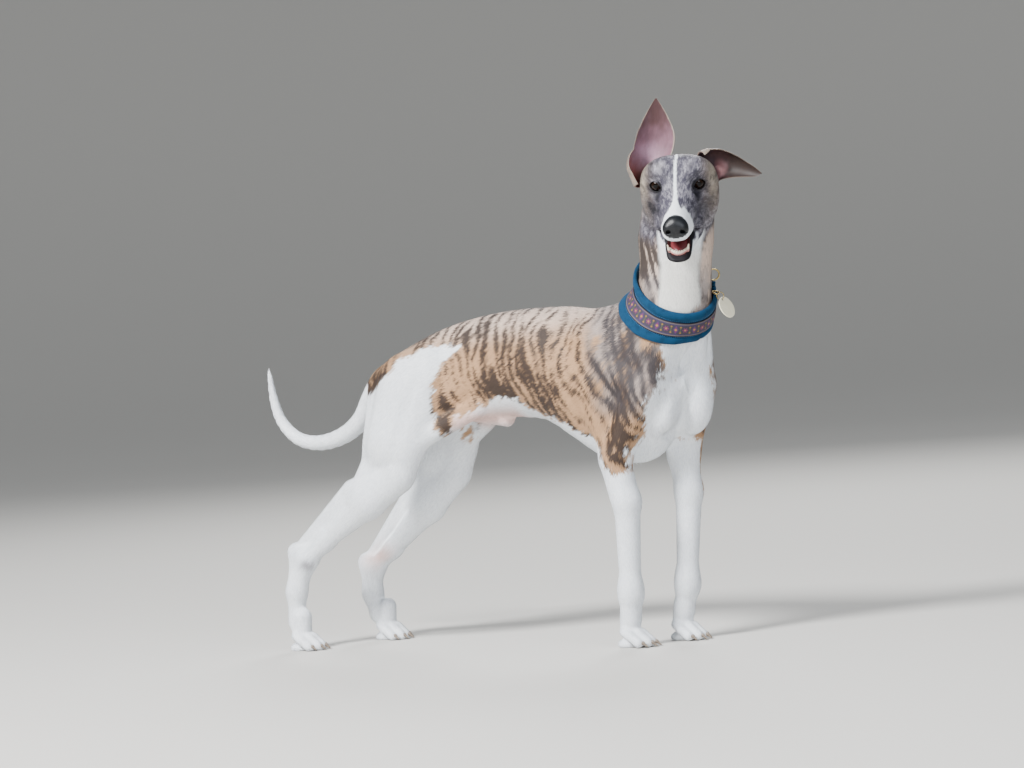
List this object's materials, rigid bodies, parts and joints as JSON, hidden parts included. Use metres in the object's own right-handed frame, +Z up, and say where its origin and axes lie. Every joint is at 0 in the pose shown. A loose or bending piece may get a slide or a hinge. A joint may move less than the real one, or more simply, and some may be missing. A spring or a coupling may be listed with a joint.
{
  "type": "whippet dog",
  "caption": "Life-size still model of a slender short-coated whippet standing alert, with a padded collar and a blank round tag.",
  "frame": {"origin": "on the floor, under the middle of the box round the whole dog", "axes": "+X forward along the body, +Y to the dog's left, +Z up; the head is turned to the dog's right"},
  "size_m": [0.9184, 0.2556, 0.7967],
  "materials": {
    "claw_horn": "pale horn claw",
    "collar_suede": "padded teal-blue suede",
    "ring_metal": "pale plated wire",
    "collar_ribbon": "woven ribbon with a small scattered pattern",
    "ear": "thin ear, bare mauve-pink skin inside",
    "eye": "dark brown moist eye",
    "white_coat": "short smooth white coat",
    "face_coat": "very short grey-brindle coat with a white blaze",
    "teeth": "ivory tooth enamel",
    "nose": "moist slate-black nose leather",
    "tag_metal": "blank satin ivory tag",
    "tongue": "moist pink tongue",
    "brindle_coat": "short smooth coat, fawn with dark brindle stripes"
  },
  "bodies": {
    "root": {"claw_fore_left_1": "claw_horn", "claw_fore_left_2": "claw_horn", "claw_fore_left_3": "claw_horn", "claw_fore_left_4": "claw_horn", "claw_fore_right_1": "claw_horn", "claw_fore_right_2": "claw_horn", "claw_fore_right_3": "claw_horn", "claw_fore_right_4": "claw_horn", "claw_hind_left_1": "claw_horn", "claw_hind_left_2": "claw_horn", "claw_hind_left_3": "claw_horn", "claw_hind_left_4": "claw_horn", "claw_hind_right_1": "claw_horn", "claw_hind_right_2": "claw_horn", "claw_hind_right_3": "claw_horn", "claw_hind_right_4": "claw_horn", "collar_band": "collar_suede", "collar_loop": "ring_metal", "collar_ribbon": "collar_ribbon", "collar_ring": "ring_metal", "ear_left": "ear", "ear_right": "ear", "eye_left": "eye", "eye_right": "eye", "forearm_left": "white_coat", "forearm_right": "white_coat", "haunch_left": "white_coat", "haunch_right": "white_coat", "head": "face_coat", "lower_jaw": "face_coat", "lower_teeth": "teeth", "lower_thigh_left": "white_coat", "lower_thigh_right": "white_coat", "neck": "white_coat", "nose": "nose", "pastern_left": "white_coat", "pastern_right": "white_coat", "paw_fore_left": "white_coat", "paw_fore_right": "white_coat", "paw_hind_left": "white_coat", "paw_hind_right": "white_coat", "shank_left": "white_coat", "shank_right": "white_coat", "tag": "tag_metal", "tag_ring": "ring_metal", "tail_middle": "white_coat", "tail_root": "white_coat", "tail_tip": "white_coat", "tongue": "tongue", "torso": "brindle_coat", "upper_arm_left": "brindle_coat", "upper_arm_right": "brindle_coat"}
  },
  "joints": []
}
